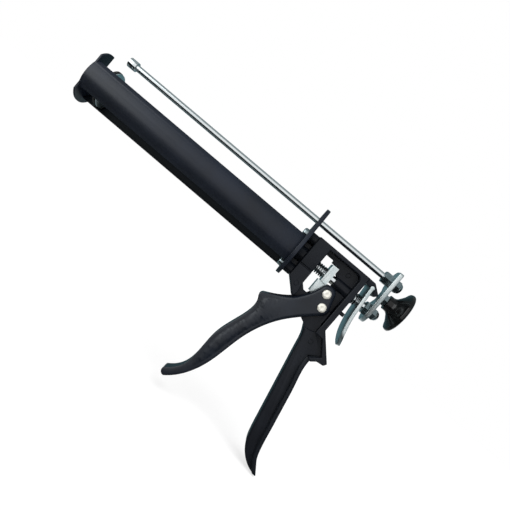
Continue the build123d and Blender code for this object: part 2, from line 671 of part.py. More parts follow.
stud_bore = ROD_STUD_D / 2 + FIT
second_bore = SECOND_ROD_D / 2 + FIT
pieces = {
    "cradle_shell": make_cradle_shell(),
    "lower_rail": make_lower_rail(),
    "rear_plate": make_rear_plate(),
    "plate_screws": make_plate_screws(),
    "plate_washers": make_plate_washers(),
    "gun_body": make_gun_body(),
    "drive_spring": make_drive_spring(),
    "release_spring": make_release_spring(),
    "trigger": make_trigger(),
    "trigger_pivot_pin": make_trigger_pivot_pin(),
    "drive_pin": make_drive_pin(),
    "driver_bracket": make_driver_bracket(),
    "grip_plates": make_grip_plates(),
    "release_lever": make_release_lever(),
    "main_rod": make_main_rod(),
    "plunger_disc": make_plunger_disc(),
    "plunger_wiper": make_plunger_wiper(),
    "plunger_nut": hex_nut(NUT_AF, stud_bore, plunger_x - WIPER_T - NUT_T, NUT_T),
    "second_rod": make_second_rod(),
    "second_rod_tip": make_second_rod_tip(),
    "cross_plate": make_cross_plate(),
    "second_rod_front_nut": hex_nut(SECOND_NUT_AF, second_bore, CROSS_PLATE_X - SECOND_NUT_T, SECOND_NUT_T,
                                    ROD_SPACING),
    "second_rod_dome_nut": dome_nut(SECOND_NUT_AF, second_bore, cross_plate_back, ROD_SPACING),
    "main_rod_front_nut": hex_nut(MAIN_NUT_AF, ROD_D / 2 + FIT, CROSS_PLATE_X - MAIN_NUT_T, MAIN_NUT_T),
    "main_rod_rear_nut": dome_nut(NUT_AF, stud_bore, cross_plate_back),
    "knob": make_knob(),
    "knob_stud": make_knob_stud(),
    "knob_nut": hex_nut(NUT_AF, KNOB_STUD_D / 2 + FIT, cross_plate_back, NUT_T, KNOB_Z),
}

os.makedirs("parts", exist_ok=True)
for node, shape in pieces.items():
    export_step(shape, f"parts/{node}.step")
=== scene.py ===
"""Studio scene of a two-part caulking gun: finishes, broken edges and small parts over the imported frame.

Metres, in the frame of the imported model: X runs along the barrel and is negative towards the nozzle, Z is
up, and the camera looks from -Y at the curved strip.
"""
import json
from math import copysign, cos, pi, radians, sin

import bmesh
import bpy
from mathutils import Matrix, Vector
from mathutils.bvhtree import BVHTree
from mathutils.kdtree import KDTree

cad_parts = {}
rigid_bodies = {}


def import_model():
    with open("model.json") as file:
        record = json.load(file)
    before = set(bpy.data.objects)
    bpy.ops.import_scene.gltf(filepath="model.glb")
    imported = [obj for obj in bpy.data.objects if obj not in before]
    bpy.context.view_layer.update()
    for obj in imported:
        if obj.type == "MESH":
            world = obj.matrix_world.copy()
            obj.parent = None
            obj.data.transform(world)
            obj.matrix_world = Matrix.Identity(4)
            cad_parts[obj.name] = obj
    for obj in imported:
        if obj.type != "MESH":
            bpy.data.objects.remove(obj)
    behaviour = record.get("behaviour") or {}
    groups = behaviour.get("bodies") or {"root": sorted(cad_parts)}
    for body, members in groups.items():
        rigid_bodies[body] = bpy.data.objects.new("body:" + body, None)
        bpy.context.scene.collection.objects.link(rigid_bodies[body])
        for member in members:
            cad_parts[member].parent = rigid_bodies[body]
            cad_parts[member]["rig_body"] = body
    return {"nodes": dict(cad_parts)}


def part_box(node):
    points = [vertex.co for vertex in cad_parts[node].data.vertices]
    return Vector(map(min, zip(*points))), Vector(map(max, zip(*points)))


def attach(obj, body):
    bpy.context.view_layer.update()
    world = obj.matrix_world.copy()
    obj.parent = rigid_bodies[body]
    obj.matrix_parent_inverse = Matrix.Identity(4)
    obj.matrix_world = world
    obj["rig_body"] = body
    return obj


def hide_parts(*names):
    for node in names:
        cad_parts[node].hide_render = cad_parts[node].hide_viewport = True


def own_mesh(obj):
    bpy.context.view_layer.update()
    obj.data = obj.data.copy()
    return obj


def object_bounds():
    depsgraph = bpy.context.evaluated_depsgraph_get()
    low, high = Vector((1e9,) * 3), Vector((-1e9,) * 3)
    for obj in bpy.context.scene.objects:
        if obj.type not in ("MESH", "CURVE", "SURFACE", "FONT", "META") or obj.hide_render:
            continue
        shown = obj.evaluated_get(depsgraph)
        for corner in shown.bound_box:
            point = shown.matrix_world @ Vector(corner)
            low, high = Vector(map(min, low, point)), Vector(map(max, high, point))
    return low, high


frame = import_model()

MM = 0.001
cad_low, cad_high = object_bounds()

# Camera, read from the photo's perspective
CAMERA_TARGET = Vector((-23.1, 0.0, -27.9)) * MM
CAMERA_DISTANCE = 450 * MM
CAMERA_YAW = 1.6            # degrees round the gun from a square side view
CAMERA_LIFT = 1.5           # degrees above it
CAMERA_ROLL = 40.4          # degrees, so that the barrel runs down to the right
CAMERA_FOCAL = 0.980        # focal length over the frame's width
CAMERA_NEAR = 0.01          # metres
CAMERA_FAR = 50             # metres

# Studio, with places in metres
AMBIENT = 0.45              # level of the white surround as light on the gun
FLOOR_GLOW = 0.71           # brings the paper near white and keeps its shadow faint
FLOOR_HALF = 6.0            # metres
FLOOR_GAP = 0.5             # millimetres under the handle's tip
KEY_PLACE = Vector((0.1, -0.6, 0.9))
KEY_POWER = 2.2             # watts per square metre
KEY_SPREAD = 50             # degrees
FILL_PLACE = Vector((-0.7, -0.9, 0.1))
FILL_POWER = 3.0            # watts
FILL_SIZE = 0.9

# Broken edges, in millimetres
PLATE_EDGE = 0.35
CAST_EDGE = 0.5
BRACKET_EDGE = 0.15
EDGE_STEPS = 3              # faces across a broken edge
EDGE_TURN = 32              # degrees, edges that turn by more are broken
FLAT_TURN = 0.6             # degrees, faces that turn by less are joined
WELD = 0.002                # joins the loose triangles of a node's copy

# Lower rail: part of the cradle's round, in millimetres and in degrees from the strip's middle
RAIL_INNER_R = 19.5
RAIL_OUTER_R = 21.0
RAIL_START = 98.0
RAIL_ARC = 67.0
RAIL_STEPS = 24             # faces across the rail

# Crown of the trigger's grip, in millimetres
CROWN_FALL = 2.5            # from the middle of a side to its edge
CROWN_WIDTH = 9.0           # inwards from the edge
CROWN_FULL_X = 8.0          # in front of this the crown is whole
CROWN_END_X = 32.0          # behind this the cheeks are flat
CROWN_GRID = 2.5            # between the cuts that let a side bend
CROWN_PASSES = 5            # of smoothing across the gun
CROWN_SOFTNESS = 0.5        # share of the way to its neighbours that a point moves in a pass
CROWN_CREASE = 35           # degrees, edges that turn by more stay sharp
CUT_REACH = 0.0001          # points as near as this to a cut lie on it
SIDE_REACH = 0.001          # points as near as this to the widest plane lie on a side
SIDE_NORMAL = 0.9999        # faces with less of their normal across the gun bound a side
CHEEK_INNER = 8.0           # from the middle plane

# Nuts, in millimetres
NUT_CHAMFER = 0.6
NUT_TURNED_SHARE = 0.94     # of the flats' circle that is left on a nut's end face
NUT_POINTS = 48             # round a nut
NUT_CREASE = 20             # degrees
DOME_SHARE = 0.4            # of a dome nut's length

# Rivets, in millimetres
RIVET_HEAD_H = 1.8
RIVET_BARREL = {"trigger_pivot_pin": (3.0, 11.0), "drive_pin": (4.4, 7.9)}   # radius and half length
DRIVE_PIN_HEAD_R = 4.1      # at most
ROUND_CREASE = 50           # degrees, on rivets, springs and casting marks

# Turned profiles, as shares of the radius and of the height, from the top of the axis to its foot
DOME_PROFILE = [(0, 1), (0.25, 0.97), (0.5, 0.87), (0.72, 0.7), (0.88, 0.46), (0.96, 0.22), (0.98, 0),
                (0, 0)]
RIVET_HEAD_PROFILE = [(0, 0.84), (0.16, 0.85), (0.26, 0.9), (0.42, 1), (0.7, 0.97), (0.88, 0.72),
                      (0.97, 0.42), (1, 0.1), (0.98, 0), (0, 0)]
RIVET_BARREL_PROFILE = [(0, 1), (0.96, 1), (1, 0.98), (1, 0.02), (0.96, 0), (0, 0)]
TURNED_POINTS = 40          # round a turned shape
TURNED_WELD = 0.01          # millimetres, closes its seam and its poles

# Springs, in millimetres
SPRING_TURNS = {"drive_spring": 7.5, "release_spring": 4.5}
SPRING_WIRE_R = {"drive_spring": 0.7, "release_spring": 0.6}
SPRING_STEPS = 36           # along a turn
WIRE_POINTS = 14            # round the wire

# Ejector rings in the casting, in millimetres
CASTING_MARKS = [(52.0, 3.0, 12.0), (64.0, 7.6, -54.0), (20.3, 13.5, -22.6)]   # and at -Y
CASTING_MARK_R = 2.1
CASTING_MARK_LINE = 0.6     # thickness of a ring's line
CASTING_MARK_POINTS = 40    # round a ring
CASTING_LINE_POINTS = 8     # round its line


def colour(code):
    """Linear colour of an sRGB hex code."""
    parts = [int(code[at:at + 2], 16) / 255 for at in (1, 3, 5)]
    return [c / 12.92 if c <= 0.04045 else ((c + 0.055) / 1.055) ** 2.4 for c in parts] + [1.0]


def per_metre(size_mm):
    """Texture scale for a pattern whose features have this size."""
    return 1 / (size_mm * MM)


def add(tree, kind, values=None, links=None, **settings):
    """Adds a node with its settings, its socket values and what is linked into it."""
    made = tree.nodes.new(kind)
    for name, value in settings.items():
        setattr(made, name, value)
    for socket, value in (values or {}).items():
        made.inputs[socket].default_value = value
    for socket, source in (links or {}).items():
        tree.links.new(source, made.inputs[socket])
    return made


def start_material(name):
    """New material with its tree, its shader and the place on the piece."""
    material = bpy.data.materials.new(name)
    material.use_nodes = True
    tree = material.node_tree
    place = add(tree, "ShaderNodeTexCoord").outputs["Object"]
    return material, tree, tree.nodes["Principled BSDF"], place


def vary_finish(tree, shader, tint_by, shades, rough_by, smooth, matt):
    """Lets one pattern shift the colour between two (position, hex) shades, and one the roughness."""
    tint = add(tree, "ShaderNodeValToRGB", links={"Fac": tint_by.outputs["Fac"]})
    for stop, (position, shade) in zip(tint.color_ramp.elements, shades):
        stop.position = position
        stop.color = colour(shade)
    rough = add(tree, "ShaderNodeMapRange", {"To Min": smooth, "To Max": matt},
                {"Value": rough_by.outputs["Fac"]})
    tree.links.new(tint.outputs["Color"], shader.inputs["Base Color"])
    tree.links.new(rough.outputs["Result"], shader.inputs["Roughness"])


def powder_coated_steel(name, dark, pale, gloss):
    """Sheet steel with black polyester powder coat: satin, blue-black, faint orange peel; a darker, duller
    copy of it is painted shade.
    """
    material, tree, shader, place = start_material(name)
    peel = add(tree, "ShaderNodeTexNoise", {"Scale": per_metre(1.6), "Detail": 2.0}, {"Vector": place})
    cloud = add(tree, "ShaderNodeTexNoise", {"Scale": per_metre(38), "Detail": 3.0}, {"Vector": place})
    vary_finish(tree, shader, cloud, [(0.3, dark), (0.72, pale)], cloud, smooth=0.36, matt=0.46)
    bump = add(tree, "ShaderNodeBump", {"Strength": 0.06, "Distance": 0.05 * MM},
               {"Height": peel.outputs["Fac"]})
    tree.links.new(bump.outputs["Normal"], shader.inputs["Normal"])
    shader.inputs["IOR"].default_value = 1.5
    shader.inputs["Specular IOR Level"].default_value = gloss
    return material


def painted_die_cast(name, dark, pale, gloss):
    """Die-cast alloy with black stove enamel: fine cast grain under a satin or half-gloss skin."""
    material, tree, shader, place = start_material(name)
    # The real grain is near 0.3 mm, drawn coarser so that it shows at this size.
    grain = add(tree, "ShaderNodeTexNoise", {"Scale": per_metre(0.9), "Detail": 3.0}, {"Vector": place})
    cloud = add(tree, "ShaderNodeTexNoise", {"Scale": per_metre(22), "Detail": 3.0}, {"Vector": place})
    vary_finish(tree, shader, cloud, [(0.3, dark), (0.75, pale)], grain, smooth=0.28, matt=0.42)
    bump = add(tree, "ShaderNodeBump", {"Strength": 0.16, "Distance": 0.08 * MM},
               {"Height": grain.outputs["Fac"]})
    tree.links.new(bump.outputs["Normal"], shader.inputs["Normal"])
    shader.inputs["IOR"].default_value = 1.5
    shader.inputs["Specular IOR Level"].default_value = gloss
    return material


def bright_rod_steel():
    """Drawn steel bar with bright chrome plate: near mirror, with fine lines along its length."""
    material, tree, shader, place = start_material("bright_rod_steel")
    # The real lines are finer: these are drawn coarser so that they show at this size.
    along = add(tree, "ShaderNodeMapping", {"Scale": (0.02, 1.0, 1.0)}, {"Vector": place})
    lines = add(tree, "ShaderNodeTexNoise", {"Scale": per_metre(0.7), "Detail": 2.0},
                {"Vector": along.outputs["Vector"]})
    vary_finish(tree, shader, lines, [(0.3, "#d3dadc"), (0.7, "#e4e9ea")], lines, smooth=0.15, matt=0.21)
    shader.inputs["Metallic"].default_value = 1.0
    return material


def zinc_plated_steel(name, dull, bright, smooth, matt):
    """Pressed steel with blue-white zinc plate: cool grey, cloudy, with fine rolling scratches."""
    material, tree, shader, place = start_material(name)
    cloud = add(tree, "ShaderNodeTexNoise", {"Scale": per_metre(7), "Detail": 4.0}, {"Vector": place})
    # The real scratches are finer: these are drawn coarser so that they show at this size.
    drawn = add(tree, "ShaderNodeMapping", {"Scale": (1.0, 1.0, 0.06)}, {"Vector": place})
    scratch = add(tree, "ShaderNodeTexNoise", {"Scale": per_metre(0.6), "Detail": 2.0},
                  {"Vector": drawn.outputs["Vector"]})
    vary_finish(tree, shader, cloud, [(0.3, dull), (0.7, bright)], scratch, smooth, matt)
    bump = add(tree, "ShaderNodeBump", {"Strength": 0.05, "Distance": 0.03 * MM},
               {"Height": scratch.outputs["Fac"]})
    tree.links.new(bump.outputs["Normal"], shader.inputs["Normal"])
    shader.inputs["Metallic"].default_value = 1.0
    return material


def nickel_rivet():
    """Nickel-plated rivet steel: warm white, softly polished."""
    material, tree, shader, place = start_material("nickel_rivet")
    cloud = add(tree, "ShaderNodeTexNoise", {"Scale": per_metre(2.5), "Detail": 3.0}, {"Vector": place})
    vary_finish(tree, shader, cloud, [(0.3, "#f3f0e2"), (0.7, "#fbf9f1")], cloud, smooth=0.42, matt=0.55)
    shader.inputs["Metallic"].default_value = 0.6
    return material


def spring_wire():
    """Drawn spring steel wire, zinc plated: dark between glints."""
    material, tree, shader, place = start_material("spring_wire")
    cloud = add(tree, "ShaderNodeTexNoise", {"Scale": per_metre(1.5), "Detail": 2.0}, {"Vector": place})
    vary_finish(tree, shader, cloud, [(0.3, "#85898c"), (0.7, "#b4b9bc")], cloud, smooth=0.2, matt=0.32)
    shader.inputs["Metallic"].default_value = 1.0
    return material


def black_rubber():
    """Moulded nitrile rubber: matt black with a bloom of paler dust."""
    material, tree, shader, place = start_material("black_rubber")
    bloom = add(tree, "ShaderNodeTexNoise", {"Scale": per_metre(3), "Detail": 4.0}, {"Vector": place})
    vary_finish(tree, shader, bloom, [(0.35, "#141414"), (0.8, "#242423")], bloom, smooth=0.6, matt=0.8)
    shader.inputs["IOR"].default_value = 1.52
    return material


def glossy_phenolic():
    """Moulded phenolic knob: deep black, polished, with faint handling marks."""
    material, tree, shader, place = start_material("glossy_phenolic")
    marks = add(tree, "ShaderNodeTexNoise", {"Scale": per_metre(5), "Detail": 5.0}, {"Vector": place})
    vary_finish(tree, shader, marks, [(0.3, "#0b0b0c"), (0.8, "#131314")], marks, smooth=0.1, matt=0.2)
    shader.inputs["IOR"].default_value = 1.6
    shader.inputs["Specular IOR Level"].default_value = 0.25
    return material


# Finish of each material slot, then the trigger's own and the lower rail's darker copy of the coat, which
# is painted shade
materials = {
    "black_powder_coat": powder_coated_steel("satin_powder_coat", "#0f141d", "#151c29", gloss=0.37),
    "black_die_cast": painted_die_cast("satin_die_cast", "#0e1117", "#14181f", gloss=0.2),
    "plated_rod": bright_rod_steel(),
    "zinc_plate": zinc_plated_steel("zinc_plated_sheet", "#d3dfe1", "#e9efef",
                                    smooth=0.3, matt=0.46),
    "zinc_fastener": zinc_plated_steel("zinc_plated_fastener", "#97a6aa", "#b7c3c6",
                                       smooth=0.2, matt=0.34),
    "bright_rivet": nickel_rivet(),
    "spring_steel": spring_wire(),
    "black_rubber": black_rubber(),
    "black_gloss_plastic": glossy_phenolic(),
}
half_gloss_die_cast = painted_die_cast("half_gloss_die_cast", "#10151d", "#171d27", gloss=0.38)
# The lower rail's coat is a darker, duller copy of the strip's: painted shade for the inside of the rail,
# where little light falls.
rail_painted_shade_coat = powder_coated_steel("rail_painted_shade_coat", "#090c11", "#0d1118", gloss=0.12)

# The record's material slot of each node, read before the nodes get their finish
slots = {node: piece.material_slots[0].material.name for node, piece in frame["nodes"].items()}
for node, piece in frame["nodes"].items():
    piece.data.materials[0] = materials[slots[node]]


def put_in_scene(name, data):
    """New object at the origin, linked to the scene."""
    made = bpy.data.objects.new(name, data)
    bpy.context.scene.collection.objects.link(made)
    return made


def place_piece(name, mesh, body, slot, nodes):
    """Puts a finished mesh in the scene as a piece of its body, in place of its CAD nodes."""
    piece = put_in_scene(name, mesh)
    piece.data.materials.clear()
    piece.data.materials.append(materials[slot])
    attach(piece, body)
    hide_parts(*nodes)
    return piece


def welded_copy(node):
    """Copy of a CAD node's mesh, and the same open for work with its triangles joined."""
    mesh = frame["nodes"][node].data.copy()
    mesh.name = node + "_finish"
    work = bmesh.new()
    work.from_mesh(mesh)
    bmesh.ops.remove_doubles(work, verts=work.verts, dist=WELD * MM)
    return mesh, work


def bevel_edges(piece, width_mm):
    """Rounds off the sharp edges of a merged mesh."""
    bevel = piece.modifiers.new("broken_edges", "BEVEL")
    bevel.width = width_mm * MM
    bevel.segments = EDGE_STEPS
    bevel.limit_method = "ANGLE"
    bevel.angle_limit = radians(EDGE_TURN)
    bevel.use_clamp_overlap = False
    bevel.harden_normals = True


def settle_corners(piece, source, width_mm):
    """Keeps the rounded mesh and brings corners that stray from the CAD node back to its surface."""
    faces = [tuple(face.vertices) for face in source.data.polygons]
    surface = BVHTree.FromPolygons([vert.co for vert in source.data.vertices], faces)
    view = bpy.context.evaluated_depsgraph_get()
    mesh = bpy.data.meshes.new_from_object(piece.evaluated_get(view))
    for vert in mesh.vertices:
        spot, _, _, gap = surface.find_nearest(vert.co)
        if gap > width_mm * MM:
            vert.co = spot
    piece.modifiers.clear()
    piece.data = mesh


def break_edges(node, width_mm):
    """Copy of a CAD node with its sharp edges rounded off."""
    source = frame["nodes"][node]
    mesh, work = welded_copy(node)
    bmesh.ops.dissolve_limit(work, angle_limit=radians(FLAT_TURN), verts=work.verts, edges=work.edges)
    work.to_mesh(mesh)
    work.free()
    mesh.shade_smooth()
    piece = place_piece(node + "_finish", mesh, source["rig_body"], slots[node], [node])
    bevel_edges(piece, width_mm)
    settle_corners(piece, source, width_mm)


def make_lower_rail():
    """Curved rail that runs on to the rear plate behind the screw head."""
    low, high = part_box("lower_rail")
    count = RAIL_STEPS + 1
    turns = [radians(RAIL_START + RAIL_ARC * step / RAIL_STEPS) for step in range(count)]
    rows = [(radius, turn) for radius in (RAIL_INNER_R, RAIL_OUTER_R) for turn in turns]
    work = bmesh.new()
    ends = []
    for x in (low[0], high[0]):
        ends.append([work.verts.new((x, -cos(turn) * radius * MM, -sin(turn) * radius * MM))
                     for radius, turn in rows])
    # Out along the inner row and back along the outer one
    outline = list(range(count)) + list(range(2 * count - 1, count - 1, -1))
    for at, start in enumerate(outline):
        end = outline[(at + 1) % len(outline)]
        work.faces.new((ends[0][start], ends[0][end], ends[1][end], ends[1][start]))
    for row in ends:
        work.faces.new([row[at] for at in outline])
    bmesh.ops.recalc_face_normals(work, faces=work.faces)
    mesh = bpy.data.meshes.new("lower_rail_finish")
    work.to_mesh(mesh)
    work.free()
    mesh.shade_smooth()
    rail = place_piece("lower_rail_finish", mesh, "frame", slots["lower_rail"], ["lower_rail"])
    # The rail takes the darker coat: painted shade.
    rail.data.materials[0] = rail_painted_shade_coat
    bevel_edges(rail, PLATE_EDGE)


def make_trigger():
    """Trigger whose grip swells towards the middle of each side, under flat cheeks."""
    low, high = (Vector(corner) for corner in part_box("trigger"))
    mesh, work = welded_copy("trigger")
    for axis in (0, 2):
        normal = Vector((axis == 0, 0, axis == 2))
        for step in range(1, int((high[axis] - low[axis]) / (CROWN_GRID * MM)) + 1):
            spot = low + normal * step * CROWN_GRID * MM
            parts = work.verts[:] + work.edges[:] + work.faces[:]
            bmesh.ops.bisect_plane(work, geom=parts, dist=CUT_REACH * MM, plane_co=spot, plane_no=normal)
    side = [vert for vert in work.verts if abs(vert.co.y) > high.y - SIDE_REACH * MM]
    rim = [vert for vert in side if any(abs(face.normal.y) < SIDE_NORMAL for face in vert.link_faces)]
    tree = KDTree(len(rim))
    for at, vert in enumerate(rim):
        tree.insert((vert.co.x, 0, vert.co.z), at)
    tree.balance()
    inside = {vert: tree.find((vert.co.x, 0, vert.co.z))[2] for vert in side}
    for vert in work.verts:
        x, y, _ = vert.co
        fall = CROWN_FALL * MM * (1 - min(inside.get(vert, 0.0) / (CROWN_WIDTH * MM), 1)) ** 2
        depth = max((abs(y) - CHEEK_INNER * MM) / (high.y - CHEEK_INNER * MM), 0)
        reach = min(max((CROWN_END_X - x / MM) / (CROWN_END_X - CROWN_FULL_X), 0), 1)
        vert.co.y -= copysign(fall * depth * reach * reach * (3 - 2 * reach), y)
    crown = [vert for vert, gap in inside.items() if gap > 0]
    for _ in range(CROWN_PASSES):
        bmesh.ops.smooth_vert(work, verts=crown, factor=CROWN_SOFTNESS, use_axis_y=True)
    for edge in work.edges:
        edge.smooth = edge.calc_face_angle(0) < radians(CROWN_CREASE)
    work.to_mesh(mesh)
    work.free()
    # The copied normals belong to the flat sides.
    mesh.attributes.remove(mesh.attributes["custom_normal"])
    mesh.shade_smooth()
    trigger = place_piece("trigger_finish", mesh, "trigger_lever", slots["trigger"], ["trigger"])
    trigger.data.materials[0] = half_gloss_die_cast


make_lower_rail()
make_trigger()
for node in ("cradle_shell", "rear_plate", "cross_plate", "release_lever", "second_rod_tip"):
    break_edges(node, PLATE_EDGE)
break_edges("driver_bracket", BRACKET_EDGE)
break_edges("gun_body", CAST_EDGE)


def start_tree(name, *sizes):
    """New node tree with named sizes and a material as inputs, and its group input."""
    tree = bpy.data.node_groups.new(name, "GeometryNodeTree")
    tree.interface.new_socket("Places", in_out="INPUT", socket_type="NodeSocketGeometry")
    for size in sizes:
        tree.interface.new_socket(size, in_out="INPUT", socket_type="NodeSocketFloat")
    tree.interface.new_socket("Finish", in_out="INPUT", socket_type="NodeSocketMaterial")
    tree.interface.new_socket("Piece", in_out="OUTPUT", socket_type="NodeSocketGeometry")
    return tree, add(tree, "NodeGroupInput").outputs


def work_out(tree, operation, first, second=0.0):
    """Result of one sum, with sockets or numbers as its terms."""
    node = add(tree, "ShaderNodeMath", operation=operation)
    for slot, term in enumerate((first, second)):
        if isinstance(term, (int, float)):
            node.inputs[slot].default_value = term
        else:
            tree.links.new(term, node.inputs[slot])
    return node.outputs[0]


def end_tree(tree, inputs, shape, crease):
    """Sets a shape at its places, smooth between its creases, and makes it real with its finish."""
    set_out = add(tree, "GeometryNodeInstanceOnPoints",
                  links={"Points": inputs["Places"], "Instance": shape})
    smooth = add(tree, "GeometryNodeSetShadeSmooth", links={"Geometry": set_out.outputs[0]})
    angle = add(tree, "GeometryNodeInputMeshEdgeAngle").outputs["Unsigned Angle"]
    sharp = add(tree, "FunctionNodeCompare", {"B": radians(crease)}, {"A": angle},
                operation="GREATER_THAN")
    creased = add(tree, "GeometryNodeSetShadeSmooth", {"Shade Smooth": False},
                  {"Geometry": smooth.outputs[0], "Selection": sharp.outputs[0]}, domain="EDGE")
    real = add(tree, "GeometryNodeRealizeInstances", links={"Geometry": creased.outputs[0]})
    done = add(tree, "GeometryNodeSetMaterial",
               links={"Geometry": real.outputs[0], "Material": inputs["Finish"]})
    add(tree, "NodeGroupOutput", links={"Piece": done.outputs[0]})
    return tree


def set_steps(curve, values):
    """Sets a float curve to even steps through the values."""
    points = curve.mapping.curves[0].points
    while len(points) < len(values):
        points.new(0.5, 0.5)
    for step, (point, value) in enumerate(zip(points, values)):
        point.location = (step / (len(values) - 1), value)
        point.handle_type = "VECTOR"
    curve.mapping.update()


def turned(tree, profile, radius, height):
    """Lathe shape on Z from (radius, height) shares that start and end on the axis."""
    grid = add(tree, "GeometryNodeMeshGrid", {"Size X": 1.0, "Size Y": 1.0, "Vertices X": len(profile),
                                              "Vertices Y": TURNED_POINTS + 1})
    position = add(tree, "GeometryNodeInputPosition").outputs[0]
    place = add(tree, "ShaderNodeSeparateXYZ", links={0: position})
    share = work_out(tree, "ADD", place.outputs["X"], 0.5)
    turn = work_out(tree, "MULTIPLY", place.outputs["Y"], 2 * pi)
    out = add(tree, "ShaderNodeFloatCurve", links={"Value": share})
    set_steps(out, [row[0] for row in profile])
    up = add(tree, "ShaderNodeFloatCurve", links={"Value": share})
    set_steps(up, [row[1] for row in profile])
    reach = work_out(tree, "MULTIPLY", out.outputs[0], radius)
    spot = add(tree, "ShaderNodeCombineXYZ", links={
        "X": work_out(tree, "MULTIPLY", reach, work_out(tree, "COSINE", turn)),
        "Y": work_out(tree, "MULTIPLY", reach, work_out(tree, "SINE", turn)),
        "Z": work_out(tree, "MULTIPLY", up.outputs[0], height)})
    bent = add(tree, "GeometryNodeSetPosition",
               links={"Geometry": grid.outputs[0], "Position": spot.outputs[0]})
    joined = add(tree, "GeometryNodeMergeByDistance", {"Distance": TURNED_WELD * MM},
                 {"Geometry": bent.outputs[0]})
    return joined.outputs[0]


def hexagon(tree, flats, thickness, chamfer):
    """Chamfered hexagon block on X with two corners towards the sides."""
    blank = add(tree, "GeometryNodeMeshCylinder", fill_type="NGON",
                values={"Vertices": NUT_POINTS, "Side Segments": 3, "Radius": 1.0, "Depth": 2.0})
    position = add(tree, "GeometryNodeInputPosition").outputs[0]
    place = add(tree, "ShaderNodeSeparateXYZ", links={0: position})
    turn = work_out(tree, "ARCTAN2", place.outputs["Y"], place.outputs["X"])
    in_side = work_out(tree, "SUBTRACT", work_out(tree, "FLOORED_MODULO", turn, pi / 3), pi / 6)
    half = work_out(tree, "MULTIPLY", flats, 0.5)
    side = work_out(tree, "DIVIDE", half, work_out(tree, "COSINE", in_side))
    # The blank's rows lie at 1 and at a third of its half depth, and only the outer ones are ends.
    depth = work_out(tree, "ABSOLUTE", place.outputs["Z"])
    at_end = work_out(tree, "GREATER_THAN", depth, 0.9)
    end_r = work_out(tree, "MULTIPLY", half, NUT_TURNED_SHARE)
    pull_in = work_out(tree, "MULTIPLY", at_end, work_out(tree, "SUBTRACT", side, end_r))
    radius = work_out(tree, "SUBTRACT", side, pull_in)
    set_back = work_out(tree, "MULTIPLY", work_out(tree, "SUBTRACT", 1.0, at_end), chamfer)
    level = work_out(tree, "SUBTRACT", work_out(tree, "MULTIPLY", thickness, 0.5), set_back)
    spot = add(tree, "ShaderNodeCombineXYZ", links={
        "X": work_out(tree, "MULTIPLY", level, work_out(tree, "SIGN", place.outputs["Z"])),
        "Y": work_out(tree, "MULTIPLY", radius, work_out(tree, "COSINE", turn)),
        "Z": work_out(tree, "MULTIPLY", radius, work_out(tree, "SINE", turn))})
    shaped = add(tree, "GeometryNodeSetPosition",
                 links={"Geometry": blank.outputs["Mesh"], "Position": spot.outputs[0]})
    return shaped.outputs[0]


def nut_tree():
    """Chamfered hexagon nuts at the given places."""
    tree, inputs = start_tree("hexagon_nut", "Across flats", "Thickness", "Chamfer")
    nut = hexagon(tree, inputs["Across flats"], inputs["Thickness"], inputs["Chamfer"])
    return end_tree(tree, inputs, nut, NUT_CREASE)


def dome_nut_tree():
    """Chamfered hexagon nuts with a domed end towards +X."""
    tree, inputs = start_tree("dome_nut", "Across flats", "Thickness", "Chamfer", "Dome height")
    nut = hexagon(tree, inputs["Across flats"], inputs["Thickness"], inputs["Chamfer"])
    base_r = work_out(tree, "MULTIPLY", inputs["Across flats"], 0.5 * NUT_TURNED_SHARE)
    cap = turned(tree, DOME_PROFILE, base_r, inputs["Dome height"])
    end_face = work_out(tree, "MULTIPLY", inputs["Thickness"], 0.5)
    seat = add(tree, "ShaderNodeCombineXYZ", links={"X": end_face})
    dome = add(tree, "GeometryNodeTransform", {"Rotation": (0, radians(90), 0)},
               {"Geometry": cap, "Translation": seat.outputs[0]})
    whole = add(tree, "GeometryNodeJoinGeometry")
    for shape in (nut, dome.outputs[0]):
        tree.links.new(shape, whole.inputs[0])
    return end_tree(tree, inputs, whole.outputs[0], NUT_CREASE)


def rivet_tree():
    """Barrel across the gun with a dimpled, rolled head at each end."""
    tree, inputs = start_tree("riveted_pin", "Head radius", "Head height", "Head seat", "Barrel radius",
                              "Barrel half")
    head = turned(tree, RIVET_HEAD_PROFILE, inputs["Head radius"], inputs["Head height"])
    length = work_out(tree, "MULTIPLY", inputs["Barrel half"], 2.0)
    bar = turned(tree, RIVET_BARREL_PROFILE, inputs["Barrel radius"], length)
    # Each head looks out from its own side, and the barrel runs from the far end through to the near one.
    near, far = -1, 1
    laid_out = [(head, near, "Head seat", near),
                (head, far, "Head seat", far),
                (bar, near, "Barrel half", far)]
    whole = add(tree, "GeometryNodeJoinGeometry")
    for shape, towards, seat, side in laid_out:
        foot = work_out(tree, "MULTIPLY", inputs[seat], side)
        shift = add(tree, "ShaderNodeCombineXYZ", links={"Y": foot})
        laid = add(tree, "GeometryNodeTransform", {"Rotation": (-towards * radians(90), 0, 0)},
                   {"Geometry": shape, "Translation": shift.outputs[0]})
        tree.links.new(laid.outputs[0], whole.inputs[0])
    return end_tree(tree, inputs, whole.outputs[0], ROUND_CREASE)


